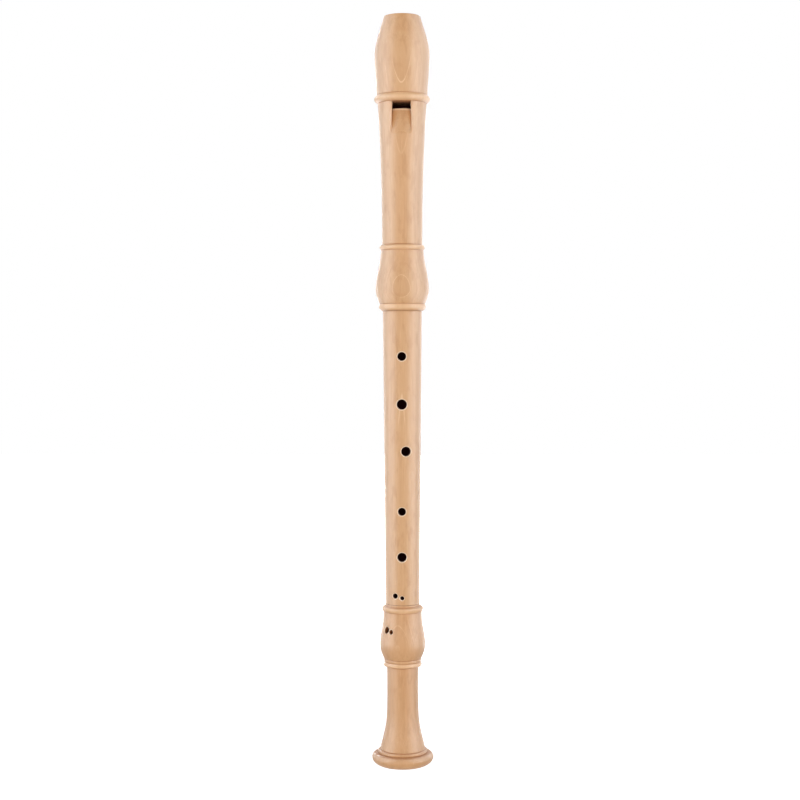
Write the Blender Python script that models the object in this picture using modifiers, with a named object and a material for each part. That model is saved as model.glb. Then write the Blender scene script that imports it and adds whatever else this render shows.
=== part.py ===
"""A tenor recorder in three joints, standing on its bell.

The frame: metres, +Z up the bore, the origin at the centre of the bell's flat end.
The window and the finger holes face -Y, and the thumb hole faces +Y.
Angles round the body are in degrees from the front, positive towards +X.
"""

import math
from collections import namedtuple

import bmesh
import bpy
from mathutils import Matrix, Vector

# Fineness of the surfaces: facets round a turned piece, round a hole and across an arch, then
# rows along a ring, a rounded rim, a curve and the middle joint's straight body
TURN_STEPS = 36
HOLE_STEPS = 16
ARCH_STEPS = 8
BEAD_STEPS = 5
RIM_STEPS = 5
TIP_STEPS = 3
FULL_CURVE_STEPS = 6
EASY_CURVE_STEPS = 4
SLOW_CURVE_STEPS = 2
BORE_CURVE_STEPS = 3
BODY_ROWS = 12
SMOOTH_ANGLE = 30.0

# Clearances between pieces that touch on the real instrument
FIT_GAP = 0.0003
WORKING_GAP = 0.0005

# How far a cutter runs past what it cuts
CUTTER_OVERRUN = 0.001
RAMP_OVERRUN = 0.003
DRILL_OVERRUN = 0.005

# Lengths of the three joints from shoulder to shoulder
FOOT_LENGTH = 0.1420
MIDDLE_LENGTH = 0.2543
HEAD_LENGTH = 0.2531

# Bore of each joint, as radii
HEAD_BORE = 0.0123
MIDDLE_BORE_TOP = 0.0112
MIDDLE_BORE_WAIST = 0.0095
MIDDLE_BORE_END = 0.0082
FOOT_BORE_TOP = 0.0080
FOOT_BORE_CHOKE = 0.0073
FOOT_BORE_MOUTH = 0.0095
FOOT_CHOKE_HEIGHT = 0.0220

# Slope of each bore, as growth of the radius for each unit down
MIDDLE_BORE_TOP_SLOPE = -0.010
MIDDLE_BORE_WAIST_SLOPE = -0.009
MIDDLE_BORE_END_SLOPE = -0.004
FOOT_BORE_TOP_SLOPE = -0.006
FOOT_BORE_MOUTH_SLOPE = 0.2

# Sockets, tenons and the cork that is let into each tenon
HEAD_SOCKET_RADIUS = 0.0151
HEAD_SOCKET_DEPTH = 0.0310
FOOT_SOCKET_RADIUS = 0.0127
FOOT_SOCKET_DEPTH = 0.0205
CORK_THICKNESS = 0.0012
UPPER_CORK_LENGTH = 0.0150
LOWER_CORK_LENGTH = 0.0105
CORK_SET_BACK = 0.0060
EDGE_BREAK = 0.0004

# Outside of the head: the beak barrel, its ring, the tube, a second ring and the socket swell
TIP_RADIUS = 0.01595
TIP_ROUNDING = 0.0012
BARREL_TIP_SLOPE = 0.27
BARREL_RADIUS = 0.0237
BARREL_WIDEST_DROP = 0.0335
BARREL_END_SLOPE = -0.02
BEAK_RING_DROP = 0.0675
BEAK_RING_WIDTH = 0.0089
BEAK_RING_RISE = 0.0021
HEAD_NECK_RADIUS = 0.0219
HEAD_TUBE_TOP_RADIUS = 0.0211
HEAD_TUBE_TOP_SLOPE = -0.07
HEAD_TUBE_RADIUS = 0.0186
HEAD_TUBE_DROP = 0.1250
HEAD_TUBE_SLOPE = -0.034
HEAD_WAIST_RADIUS = 0.01748
HEAD_WAIST_HEIGHT = 0.0680
SWELL_RING_HEIGHT = 0.0586
SWELL_RING_WIDTH = 0.0071
SWELL_RING_RISE = 0.0013
SWELL_SHOULDER_RADIUS = 0.0186
SWELL_SHOULDER_SLOPE = 0.02
HEAD_SWELL_RADIUS = 0.02305
HEAD_SWELL_HEIGHT = 0.0184
HEAD_MOUTH_GROOVE_HEIGHT = 0.0070
HEAD_MOUTH_GROOVE_RADIUS = 0.01975
HEAD_MOUTH_GROOVE_SLOPE = -0.5
HEAD_MOUTH_RADIUS = 0.0173
HEAD_MOUTH_RING_RISE = 0.0016

# Outside of the middle joint, an almost straight taper
MIDDLE_TOP_RADIUS = 0.01695
MIDDLE_END_RADIUS = 0.01468

# Outside of the foot: top ring, socket swell, lower ring, neck, flare and bell
FOOT_MOUTH_RADIUS = 0.0154
FOOT_RING_WIDTH = 0.0061
FOOT_RING_RISE = 0.00139
FOOT_SHOULDER_RADIUS = 0.01665
FOOT_SHOULDER_SLOPE = 0.03
FOOT_SWELL_START_DROP = 0.0210
FOOT_SWELL_START_RADIUS = 0.0178
FOOT_SWELL_START_SLOPE = 0.17
FOOT_SWELL_RADIUS = 0.0197
FOOT_SWELL_DROP = 0.0342
LOWER_RING_DROP = 0.0481
LOWER_RING_RADIUS = 0.0161
LOWER_RING_SLOPE = -0.55
LOWER_RING_WIDTH = 0.0070
LOWER_RING_RISE = 0.00175
NECK_TOP_RADIUS = 0.01375
NECK_TOP_SLOPE = -0.02
NECK_RADIUS = 0.01353
NECK_DROP = 0.0712
FLARE_START_HEIGHT = 0.0496
FLARE_START_RADIUS = 0.01372
FLARE_START_SLOPE = 0.03
FLARE_MIDDLE_HEIGHT = 0.0355
FLARE_MIDDLE_RADIUS = 0.0149
FLARE_MIDDLE_SLOPE = 0.16
FLARE_END_HEIGHT = 0.0213
FLARE_END_RADIUS = 0.01795
FLARE_END_SLOPE = 0.25
BELL_BEAD_TOP = 0.0156
BELL_BEAD_RADIUS = 0.0194
BELL_BEAD_SLOPE = 0.22
BELL_BEAD_END = 0.0118
BELL_BEAD_END_RADIUS = 0.0222
BELL_BEAD_RISE = 0.0011
BELL_RIM_HEIGHT = 0.0070
BELL_RIM_RADIUS = 0.0268
BELL_CROWN_RADIUS = 0.0226
BELL_CROWN_START_ANGLE = 80.0
BELL_FACE_RADIUS = 0.0218

# Beak cut: one hollow curve across the back of the tip
TIP_THICKNESS = 0.0141
BEAK_CURVE_RADIUS = 0.0627
BEAK_CURVE_STEPS = 96

# Windway, window and ramp, as heights in front of the bore's axis
WINDWAY_HALF_WIDTH = 0.00775
WINDWAY_FLOOR = 0.0115
WINDWAY_FLOOR_SAG = 0.00245
WINDWAY_EXIT_HEIGHT = 0.0014
WINDWAY_ENTRANCE_HEIGHT = 0.0024
WINDWAY_ROOF_SAG = 0.00217
WINDWAY_CHAMFER = 0.0008
WINDOW_DROP = 0.0746
WINDOW_HALF_WIDTH = 0.0081
CUT_UP = 0.0056
LABIUM_EDGE = 0.0125
LABIUM_SAG = 0.0024
LABIUM_STEP = 0.00005
RAMP_LENGTH = 0.0217
RAMP_FOOT = 0.0195
RAMP_FOOT_SAG = 0.0010
RAMP_FOOT_HALF_WIDTH = 0.0088

# Tone holes: how far from the joint's shoulder, where round the body, which way the drill
# points, the hole's diameter, and how steeply the drill slopes down into the bore, in degrees.
# The upper hand's holes are measured down from the middle joint's top shoulder, the lower
# hand's up from its lower shoulder, and the foot's down from its mouth.
Hole = namedtuple("Hole", "name distance side aim diameter slope")
UPPER_HAND_HOLES = [
    Hole("thumb_hole", 0.0256, 180.0, 180.0, 0.0070, 0.0),
    Hole("finger_hole_1", 0.0389, 0.0, 0.0, 0.0074, 0.0),
    Hole("finger_hole_2", 0.0803, 0.0, 0.0, 0.0086, 0.0),
    Hole("finger_hole_3", 0.1208, 14.0, 14.0, 0.0082, 0.0),
]
LOWER_HAND_HOLES = [
    Hole("finger_hole_4", 0.0814, 0.0, 0.0, 0.0067, 0.0),
    Hole("finger_hole_5", 0.0418, 0.0, 0.0, 0.0078, 0.0),
    Hole("finger_hole_6_large", 0.0080, -24.0, -12.0, 0.0044, 0.0),
    Hole("finger_hole_6_small", 0.0063, 0.0, -12.0, 0.0034, 0.0),
]
FOOT_HOLES = [
    Hole("finger_hole_7_large", 0.0214, -47.5, -39.0, 0.0052, 30.0),
    Hole("finger_hole_7_small", 0.0225, -30.5, -39.0, 0.0036, 30.0),
]
HOLE_CHAMFER = 0.0004
HOLE_UNDERCUT = 0.0004
DRILL_STOP_RADIUS = 0.0040

# Places that follow from the sizes above
FOOT_TOP = FOOT_LENGTH
MIDDLE_END = FOOT_TOP + FIT_GAP
MIDDLE_TOP = MIDDLE_END + MIDDLE_LENGTH
HEAD_END = MIDDLE_TOP + FIT_GAP
HEAD_TOP = HEAD_END + HEAD_LENGTH
HEAD_SOCKET_FLOOR = HEAD_END + HEAD_SOCKET_DEPTH
FOOT_SOCKET_FLOOR = FOOT_TOP - FOOT_SOCKET_DEPTH
UPPER_TENON_TOP = HEAD_SOCKET_FLOOR - WORKING_GAP
LOWER_TENON_END = FOOT_SOCKET_FLOOR + WORKING_GAP
UPPER_TENON_RADIUS = HEAD_SOCKET_RADIUS - WORKING_GAP
LOWER_TENON_RADIUS = FOOT_SOCKET_RADIUS - WORKING_GAP
WINDOW_TOP = HEAD_TOP - WINDOW_DROP
LABIUM_HEIGHT = WINDOW_TOP - CUT_UP
RAMP_END = LABIUM_HEIGHT - RAMP_LENGTH

# Finishes: colour and roughness of each material
MAPLE = ((0.80, 0.60, 0.40), 0.38)
CEDAR = ((0.52, 0.27, 0.14), 0.70)
CORK = ((0.47, 0.30, 0.17), 0.90)


def clear_scene():
    for old in list(bpy.data.objects):
        bpy.data.objects.remove(old, do_unlink=True)


def new_collection(name):
    group = bpy.data.collections.new(name)
    bpy.context.scene.collection.children.link(group)
    return group


def finish_material(name, look):
    colour, roughness = look
    finish = bpy.data.materials.new(name)
    finish.use_nodes = True
    shader = finish.node_tree.nodes["Principled BSDF"]
    shader.inputs["Base Color"].default_value = (*colour, 1.0)
    shader.inputs["Roughness"].default_value = roughness
    shader.inputs["Metallic"].default_value = 0.0
    finish.diffuse_color = (*colour, 1.0)
    return finish


def flowing(stations, steps):
    """Points (radius, height) on a smooth curve through stations (height, radius, slope).

    The slope is the growth of the radius for each unit down."""
    points = []
    for (high, upper, upper_slope), (low, lower, lower_slope) in zip(stations, stations[1:]):
        fall = high - low
        for step in range(steps):
            t = step / steps
            ease = t * t * (3 - 2 * t)
            leave = t * (1 - t) ** 2
            arrive = t * t * (t - 1)
            radius = upper * (1 - ease) + lower * ease
            radius += fall * (upper_slope * leave + lower_slope * arrive)
            points.append((radius, high - fall * t))
    last_height, last_radius, _ = stations[-1]
    points.append((last_radius, last_height))
    return points


def bead(start, end, rise):
    """A turned ring: a half wave that stands off the straight line from start to end."""
    (start_radius, start_height), (end_radius, end_height) = start, end
    run = Vector((end_radius - start_radius, end_height - start_height))
    outward = Vector((-run.y, run.x)).normalized()
    points = []
    for step in range(BEAD_STEPS + 1):
        t = step / BEAD_STEPS
        place = Vector(start) + run * t + outward * rise * math.sin(math.pi * t)
        points.append((place.x, place.y))
    return points


def straight(start, end, rows):
    """Points (radius, height) spaced evenly along a straight taper, both ends included."""
    places = [Vector(start).lerp(Vector(end), row / rows) for row in range(rows + 1)]
    return [(place.x, place.y) for place in places]


def oval(centre, half_sizes, start, end, steps):
    """Points on an ellipse from one angle to another, in degrees above the horizontal."""
    points = []
    for step in range(steps + 1):
        angle = math.radians(start + (end - start) * step / steps)
        radius = centre[0] + half_sizes[0] * math.cos(angle)
        points.append((radius, centre[1] + half_sizes[1] * math.sin(angle)))
    return points


def radius_on(outline, height):
    """The radius of an outline, which runs downwards, at one height."""
    for (upper, high), (lower, low) in zip(outline, outline[1:]):
        if low <= height <= high:
            return upper + (lower - upper) * (high - height) / (high - low)
    raise ValueError("the outline doesn't reach that height")


def depth_at(radius, half_width):
    """How far in front of the axis a round wall stands, at half_width to one side."""
    return math.sqrt(radius * radius - half_width * half_width)


def turned(name, outline, group, finish=None, closed=True, steps=TURN_STEPS):
    """An outline of (radius, height) points spun round the Z axis by a Screw modifier."""
    mesh = bpy.data.meshes.new(name)
    draft = bmesh.new()
    corners = [draft.verts.new((radius, 0.0, height)) for radius, height in outline]
    for first, second in zip(corners, corners[1:]):
        draft.edges.new((first, second))
    if closed:
        draft.edges.new((corners[-1], corners[0]))
    draft.to_mesh(mesh)
    draft.free()
    piece = bpy.data.objects.new(name, mesh)
    group.objects.link(piece)
    screw = piece.modifiers.new("turning", "SCREW")
    screw.axis = "Z"
    screw.angle = math.tau
    screw.steps = steps
    screw.render_steps = steps
    screw.use_merge_vertices = True
    screw.merge_threshold = 0.00001
    screw.use_normal_calculate = False
    screw.use_smooth_shade = True
    if finish:
        mesh.materials.append(finish)
    return piece


def as_cutter(piece):
    piece.hide_render = True
    piece.display_type = "WIRE"
    return piece


def cut(piece, cutter):
    notch = piece.modifiers.new(cutter.name, "BOOLEAN")
    notch.operation = "DIFFERENCE"
    notch.solver = "EXACT"
    notch.object = cutter


def settle(piece):
    """Keeps what the modifiers make as the piece's own mesh, smooth but for its real edges."""
    graph = bpy.context.evaluated_depsgraph_get()
    mesh = bpy.data.meshes.new_from_object(piece.evaluated_get(graph))
    piece.modifiers.clear()
    piece.data = mesh
    mesh.shade_smooth()
    mesh.set_sharp_from_angle(angle=math.radians(SMOOTH_ANGLE))


def arched_channel(name, stations, group):
    """A cutter lofted down through arched sections across the front of the bore.

    Each station is (height, half width, inner crown, inner sag, outer crown, outer sag):
    a crown is how far in front of the axis the arch stands, and a sag how far it falls
    back at the sides."""
    draft = bmesh.new()
    rings = []
    for height, half_width, inner, inner_sag, outer, outer_sag in stations:
        across = [2 * step / ARCH_STEPS - 1 for step in range(ARCH_STEPS + 1)]
        front = [(s * half_width, outer_sag * s * s - outer, height) for s in across]
        back = [(s * half_width, inner_sag * s * s - inner, height) for s in reversed(across)]
        rings.append([draft.verts.new(place) for place in front + back])
    for upper, lower in zip(rings, rings[1:]):
        for step in range(len(upper)):
            draft.faces.new((upper[step - 1], upper[step], lower[step], lower[step - 1]))
    draft.faces.new(rings[0])
    draft.faces.new(rings[-1])
    bmesh.ops.recalc_face_normals(draft, faces=draft.faces)
    mesh = bpy.data.meshes.new(name)
    draft.to_mesh(mesh)
    draft.free()
    channel = bpy.data.objects.new(name, mesh)
    group.objects.link(channel)
    return as_cutter(channel)


def towards(side, rise):
    """The outward direction at an angle round the body and an angle above the horizontal."""
    turn = math.radians(side)
    lift = math.radians(rise)
    return Vector((math.sin(turn) * math.cos(lift), -math.cos(turn) * math.cos(lift), math.sin(lift)))


def place_bit(piece, name, outline, entry, aim, shape, group):
    """A turned cutter, given its shape by a matrix, that stands in the surface along aim."""
    bit = as_cutter(turned(name, outline, group, closed=False, steps=HOLE_STEPS))
    turn = aim.to_track_quat("Z", "Y").to_matrix().to_4x4()
    bit.matrix_world = Matrix.Translation(entry) @ turn @ shape
    cut(piece, bit)


def tone_hole(piece, hole, height, body, group):
    """One tone hole, wider where it meets the bore, with a countersink along its edge.

    The countersink follows the body's surface, and a sloping drill's is as much taller. It is
    turned by half a facet, so that its edges don't run along the drill's."""
    radius = hole.diameter / 2
    narrowing = math.cos(math.radians(hole.slope))
    entry = towards(hole.side, 0.0) * body
    entry.z = height
    depth = (body - DRILL_STOP_RADIUS) / narrowing
    drill = [
        (0.0, DRILL_OVERRUN),
        (radius, DRILL_OVERRUN),
        (radius, -depth / 2),
        (radius + HOLE_UNDERCUT, -depth),
        (0.0, -depth),
    ]
    aim = towards(hole.aim, hole.slope)
    place_bit(piece, hole.name + "_drill", drill, entry, aim, Matrix.Identity(4), group)
    collar = body - depth_at(body, radius) + HOLE_CHAMFER
    countersink = [
        (0.0, CUTTER_OVERRUN),
        (radius + collar + CUTTER_OVERRUN, CUTTER_OVERRUN),
        (radius - CUTTER_OVERRUN, -collar - CUTTER_OVERRUN),
        (0.0, -collar - CUTTER_OVERRUN),
    ]
    taller = Matrix.Diagonal((1.0, 1 / narrowing, 1.0, 1.0))
    shape = taller @ Matrix.Rotation(math.pi / HOLE_STEPS, 4, "Z")
    aim = towards(hole.side, 0.0)
    place_bit(piece, hole.name + "_countersink", countersink, entry, aim, shape, group)


def head_outline():
    tip = oval(
        (TIP_RADIUS - TIP_ROUNDING, HEAD_TOP - TIP_ROUNDING),
        (TIP_ROUNDING, TIP_ROUNDING),
        90.0,
        math.degrees(math.atan(BARREL_TIP_SLOPE)),
        TIP_STEPS,
    )
    tip_radius, tip_height = tip[-1]
    barrel = flowing([
        (tip_height, tip_radius, BARREL_TIP_SLOPE),
        (HEAD_TOP - BARREL_WIDEST_DROP, BARREL_RADIUS, 0.0),
        (HEAD_TOP - BEAK_RING_DROP, HEAD_NECK_RADIUS, BARREL_END_SLOPE),
    ], FULL_CURVE_STEPS)
    ring_end = HEAD_TOP - BEAK_RING_DROP - BEAK_RING_WIDTH
    beak_ring = bead(barrel[-1], (HEAD_TUBE_TOP_RADIUS, ring_end), BEAK_RING_RISE)
    tube = flowing([
        (ring_end, HEAD_TUBE_TOP_RADIUS, HEAD_TUBE_TOP_SLOPE),
        (HEAD_TOP - HEAD_TUBE_DROP, HEAD_TUBE_RADIUS, HEAD_TUBE_SLOPE),
        (HEAD_END + HEAD_WAIST_HEIGHT, HEAD_WAIST_RADIUS, 0.0),
    ], EASY_CURVE_STEPS)
    swell_top = HEAD_END + SWELL_RING_HEIGHT
    swell_ring = bead(
        (HEAD_WAIST_RADIUS, swell_top),
        (SWELL_SHOULDER_RADIUS, swell_top - SWELL_RING_WIDTH),
        SWELL_RING_RISE,
    )
    swell = flowing([
        (swell_top - SWELL_RING_WIDTH, SWELL_SHOULDER_RADIUS, SWELL_SHOULDER_SLOPE),
        (HEAD_END + HEAD_SWELL_HEIGHT, HEAD_SWELL_RADIUS, 0.0),
        (HEAD_END + HEAD_MOUTH_GROOVE_HEIGHT, HEAD_MOUTH_GROOVE_RADIUS, HEAD_MOUTH_GROOVE_SLOPE),
    ], FULL_CURVE_STEPS)
    mouth_ring = bead(swell[-1], (HEAD_MOUTH_RADIUS, HEAD_END), HEAD_MOUTH_RING_RISE)
    inside = [
        (HEAD_SOCKET_RADIUS + EDGE_BREAK, HEAD_END),
        (HEAD_SOCKET_RADIUS, HEAD_END + EDGE_BREAK),
        (HEAD_SOCKET_RADIUS, HEAD_SOCKET_FLOOR),
        (HEAD_BORE, HEAD_SOCKET_FLOOR),
        (HEAD_BORE, HEAD_TOP),
    ]
    outside = tip[:-1] + barrel[:-1] + beak_ring[:-1] + tube
    outside += swell_ring[:-1] + swell[:-1] + mouth_ring
    return outside + inside


def tenon(radius, shoulder, end, cork_length):
    """A tenon's side from its shoulder to its end, with the groove that its cork lies in."""
    way = math.copysign(1.0, end - shoulder)
    groove_radius = radius - CORK_THICKNESS
    groove_start = shoulder + way * CORK_SET_BACK
    groove_end = groove_start + way * (cork_length + 2 * FIT_GAP)
    return [
        (radius, shoulder),
        (radius, groove_start),
        (groove_radius, groove_start),
        (groove_radius, groove_end),
        (radius, groove_end),
        (radius, end - way * EDGE_BREAK),
        (radius - EDGE_BREAK, end),
    ]


def middle_body():
    top = (MIDDLE_TOP_RADIUS, MIDDLE_TOP)
    return straight(top, (MIDDLE_END_RADIUS, MIDDLE_END), BODY_ROWS)


def middle_outline(body):
    upper = tenon(UPPER_TENON_RADIUS, MIDDLE_TOP, UPPER_TENON_TOP, UPPER_CORK_LENGTH)
    lower = tenon(LOWER_TENON_RADIUS, MIDDLE_END, LOWER_TENON_END, LOWER_CORK_LENGTH)
    bore = flowing([
        (UPPER_TENON_TOP, MIDDLE_BORE_TOP, MIDDLE_BORE_TOP_SLOPE),
        ((MIDDLE_TOP + MIDDLE_END) / 2, MIDDLE_BORE_WAIST, MIDDLE_BORE_WAIST_SLOPE),
        (LOWER_TENON_END, MIDDLE_BORE_END, MIDDLE_BORE_END_SLOPE),
    ], BORE_CURVE_STEPS)
    return upper[::-1] + body + lower + bore[::-1]


def foot_swell():
    return flowing([
        (FOOT_TOP - FOOT_RING_WIDTH, FOOT_SHOULDER_RADIUS, FOOT_SHOULDER_SLOPE),
        (FOOT_TOP - FOOT_SWELL_START_DROP, FOOT_SWELL_START_RADIUS, FOOT_SWELL_START_SLOPE),
        (FOOT_TOP - FOOT_SWELL_DROP, FOOT_SWELL_RADIUS, 0.0),
        (FOOT_TOP - LOWER_RING_DROP, LOWER_RING_RADIUS, LOWER_RING_SLOPE),
    ], EASY_CURVE_STEPS)


def foot_outline(swell):
    top_ring = bead((FOOT_MOUTH_RADIUS, FOOT_TOP), swell[0], FOOT_RING_RISE)
    lower_ring_end = FOOT_TOP - LOWER_RING_DROP - LOWER_RING_WIDTH
    lower_ring = bead(swell[-1], (NECK_TOP_RADIUS, lower_ring_end), LOWER_RING_RISE)
    flare = flowing([
        (lower_ring_end, NECK_TOP_RADIUS, NECK_TOP_SLOPE),
        (FOOT_TOP - NECK_DROP, NECK_RADIUS, 0.0),
        (FLARE_START_HEIGHT, FLARE_START_RADIUS, FLARE_START_SLOPE),
        (FLARE_MIDDLE_HEIGHT, FLARE_MIDDLE_RADIUS, FLARE_MIDDLE_SLOPE),
        (FLARE_END_HEIGHT, FLARE_END_RADIUS, FLARE_END_SLOPE),
        (BELL_BEAD_TOP, BELL_BEAD_RADIUS, BELL_BEAD_SLOPE),
    ], SLOW_CURVE_STEPS)
    bell_bead = bead(flare[-1], (BELL_BEAD_END_RADIUS, BELL_BEAD_END), BELL_BEAD_RISE)
    crown = oval(
        (BELL_CROWN_RADIUS, BELL_RIM_HEIGHT),
        (BELL_RIM_RADIUS - BELL_CROWN_RADIUS, BELL_BEAD_END - BELL_RIM_HEIGHT),
        BELL_CROWN_START_ANGLE, 0.0, RIM_STEPS,
    )
    under = oval(
        (BELL_FACE_RADIUS, BELL_RIM_HEIGHT),
        (BELL_RIM_RADIUS - BELL_FACE_RADIUS, BELL_RIM_HEIGHT),
        0.0, -90.0, RIM_STEPS,
    )
    bore = flowing([
        (FOOT_SOCKET_FLOOR, FOOT_BORE_TOP, FOOT_BORE_TOP_SLOPE),
        (FOOT_CHOKE_HEIGHT, FOOT_BORE_CHOKE, 0.0),
        (0.0, FOOT_BORE_MOUTH, FOOT_BORE_MOUTH_SLOPE),
    ], BORE_CURVE_STEPS)
    inside = bore[::-1] + [
        (FOOT_SOCKET_RADIUS, FOOT_SOCKET_FLOOR),
        (FOOT_SOCKET_RADIUS, FOOT_TOP - EDGE_BREAK),
        (FOOT_SOCKET_RADIUS + EDGE_BREAK, FOOT_TOP),
    ]
    outside = top_ring[:-1] + swell[:-1] + lower_ring[:-1] + flare[:-1]
    outside += bell_bead[:-1] + crown + under[1:]
    return outside + inside


def cork_sleeve(name, socket_radius, tenon_radius, shoulder, end, length, group, finish):
    """A cork ring, clear of the groove's floor and ends and of the socket's wall."""
    way = math.copysign(1.0, end - shoulder)
    start = shoulder + way * (CORK_SET_BACK + FIT_GAP)
    high = max(start, start + way * length)
    low = high - length
    outer = socket_radius - FIT_GAP
    inner = tenon_radius - CORK_THICKNESS + FIT_GAP
    outline = [
        (outer - EDGE_BREAK, high),
        (outer, high - EDGE_BREAK),
        (outer, low + EDGE_BREAK),
        (outer - EDGE_BREAK, low),
        (inner, low),
        (inner, high),
    ]
    settle(turned(name, outline, group, finish))


def window_and_ramp(group):
    """The window's straight-sided opening and, below it, the ramp that rises from the labium."""
    spread = (RAMP_FOOT_HALF_WIDTH - WINDOW_HALF_WIDTH) / (WINDOW_TOP - RAMP_END)
    rise = (RAMP_FOOT - LABIUM_EDGE) / RAMP_LENGTH
    flatten = (RAMP_FOOT_SAG - LABIUM_SAG) / RAMP_LENGTH
    through = depth_at(HEAD_BORE, WINDOW_HALF_WIDTH) - CUTTER_OVERRUN
    beyond = BARREL_RADIUS + CUTTER_OVERRUN
    edge_width = WINDOW_HALF_WIDTH + spread * CUT_UP
    last = RAMP_LENGTH + RAMP_OVERRUN
    stations = [
        (WINDOW_TOP, WINDOW_HALF_WIDTH, through, 0.0, beyond, 0.0),
        (LABIUM_HEIGHT, edge_width, through, 0.0, beyond, 0.0),
        (LABIUM_HEIGHT - LABIUM_STEP, edge_width, LABIUM_EDGE, LABIUM_SAG, beyond, 0.0),
        (LABIUM_HEIGHT - last, edge_width + spread * last, LABIUM_EDGE + rise * last,
         LABIUM_SAG + flatten * last, beyond, 0.0),
    ]
    return arched_channel("window_cutter", stations, group)


def windway(group):
    """The flat arched slot between the block and the head, open at the tip and the window."""
    exit_roof = WINDWAY_FLOOR + WINDWAY_EXIT_HEIGHT
    tip_roof = WINDWAY_FLOOR + WINDWAY_ENTRANCE_HEIGHT
    flare = WINDWAY_CHAMFER + CUTTER_OVERRUN
    stations = [
        (HEAD_TOP + CUTTER_OVERRUN, WINDWAY_HALF_WIDTH, WINDWAY_FLOOR, WINDWAY_FLOOR_SAG,
         tip_roof, WINDWAY_ROOF_SAG),
        (WINDOW_TOP + WINDWAY_CHAMFER, WINDWAY_HALF_WIDTH, WINDWAY_FLOOR, WINDWAY_FLOOR_SAG,
         exit_roof, WINDWAY_ROOF_SAG),
        (WINDOW_TOP - CUTTER_OVERRUN, WINDWAY_HALF_WIDTH, WINDWAY_FLOOR - flare, WINDWAY_FLOOR_SAG,
         exit_roof + flare, WINDWAY_ROOF_SAG),
    ]
    return arched_channel("windway_cutter", stations, group)


def beak_curve(group):
    """A drum lying across the back of the tip, level with it, that hollows out the beak."""
    centre = TIP_THICKNESS - TIP_RADIUS + BEAK_CURVE_RADIUS
    bpy.ops.mesh.primitive_cylinder_add(
        vertices=BEAK_CURVE_STEPS,
        radius=BEAK_CURVE_RADIUS,
        depth=2 * (BARREL_RADIUS + CUTTER_OVERRUN),
        location=(0.0, centre, HEAD_TOP),
        rotation=(0.0, math.pi / 2, 0.0),
    )
    drum = bpy.context.object
    drum.name = "beak_cutter"
    for holder in list(drum.users_collection):
        holder.objects.unlink(drum)
    group.objects.link(drum)
    return as_cutter(drum)


def make_head(group, cutters, finish):
    head = turned("head_joint", head_outline(), group, finish)
    for name in ("beak", "windway", "window"):
        cut(head, cutters[name])
    settle(head)


def make_block(group, cutters, finish):
    """The cedar plug that fills the head above the window and floors the windway."""
    radius = HEAD_BORE - FIT_GAP
    outline = [
        (0.0, HEAD_TOP),
        (radius, HEAD_TOP),
        (radius, WINDOW_TOP + EDGE_BREAK),
        (radius - EDGE_BREAK, WINDOW_TOP),
        (0.0, WINDOW_TOP),
    ]
    block = turned("block", outline, group, finish, closed=False)
    for name in ("beak", "windway"):
        cut(block, cutters[name])
    settle(block)


def make_middle(group, cutter_group, finish):
    body = middle_body()
    middle = turned("middle_joint", middle_outline(body), group, finish)
    places = [(hole, MIDDLE_TOP - hole.distance) for hole in UPPER_HAND_HOLES]
    places += [(hole, MIDDLE_END + hole.distance) for hole in LOWER_HAND_HOLES]
    for hole, height in places:
        tone_hole(middle, hole, height, radius_on(body, height), cutter_group)
    settle(middle)


def make_foot(group, cutter_group, finish):
    swell = foot_swell()
    foot = turned("foot_joint", foot_outline(swell), group, finish)
    for hole in FOOT_HOLES:
        height = FOOT_TOP - hole.distance
        tone_hole(foot, hole, height, radius_on(swell, height), cutter_group)
    settle(foot)


def build():
    clear_scene()
    pieces = new_collection("tenor_recorder")
    cutter_group = new_collection("cutters")
    cutters = {
        "beak": beak_curve(cutter_group),
        "windway": windway(cutter_group),
        "window": window_and_ramp(cutter_group),
    }
    make_head(pieces, cutters, finish_material("maple_head", MAPLE))
    make_block(pieces, cutters, finish_material("cedar_block", CEDAR))
    make_middle(pieces, cutter_group, finish_material("maple_middle", MAPLE))
    cork_sleeve("upper_tenon_cork", HEAD_SOCKET_RADIUS, UPPER_TENON_RADIUS, MIDDLE_TOP,
                UPPER_TENON_TOP, UPPER_CORK_LENGTH, pieces, finish_material("cork_upper", CORK))
    cork_sleeve("lower_tenon_cork", FOOT_SOCKET_RADIUS, LOWER_TENON_RADIUS, MIDDLE_END,
                LOWER_TENON_END, LOWER_CORK_LENGTH, pieces, finish_material("cork_lower", CORK))
    make_foot(pieces, cutter_group, finish_material("maple_foot", MAPLE))


build()
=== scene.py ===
# %% [markdown]
# # A tenor recorder in turned maple
#
# A recorder is three lengths of wood, each turned on a lathe, bored through and fitted into the
# next. This lesson dresses a plain solid model of one. It loads that model, then turns every
# piece again with finer curves, cuts its window and holes, and gives it wood that has rings.
# All sizes are in metres. The bore's axis is Z, the bell stands at zero, and the front faces -Y.

# %% Load the solid model and keep its box
import math
from collections import namedtuple

import bpy
from mathutils import Matrix, Vector


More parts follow.
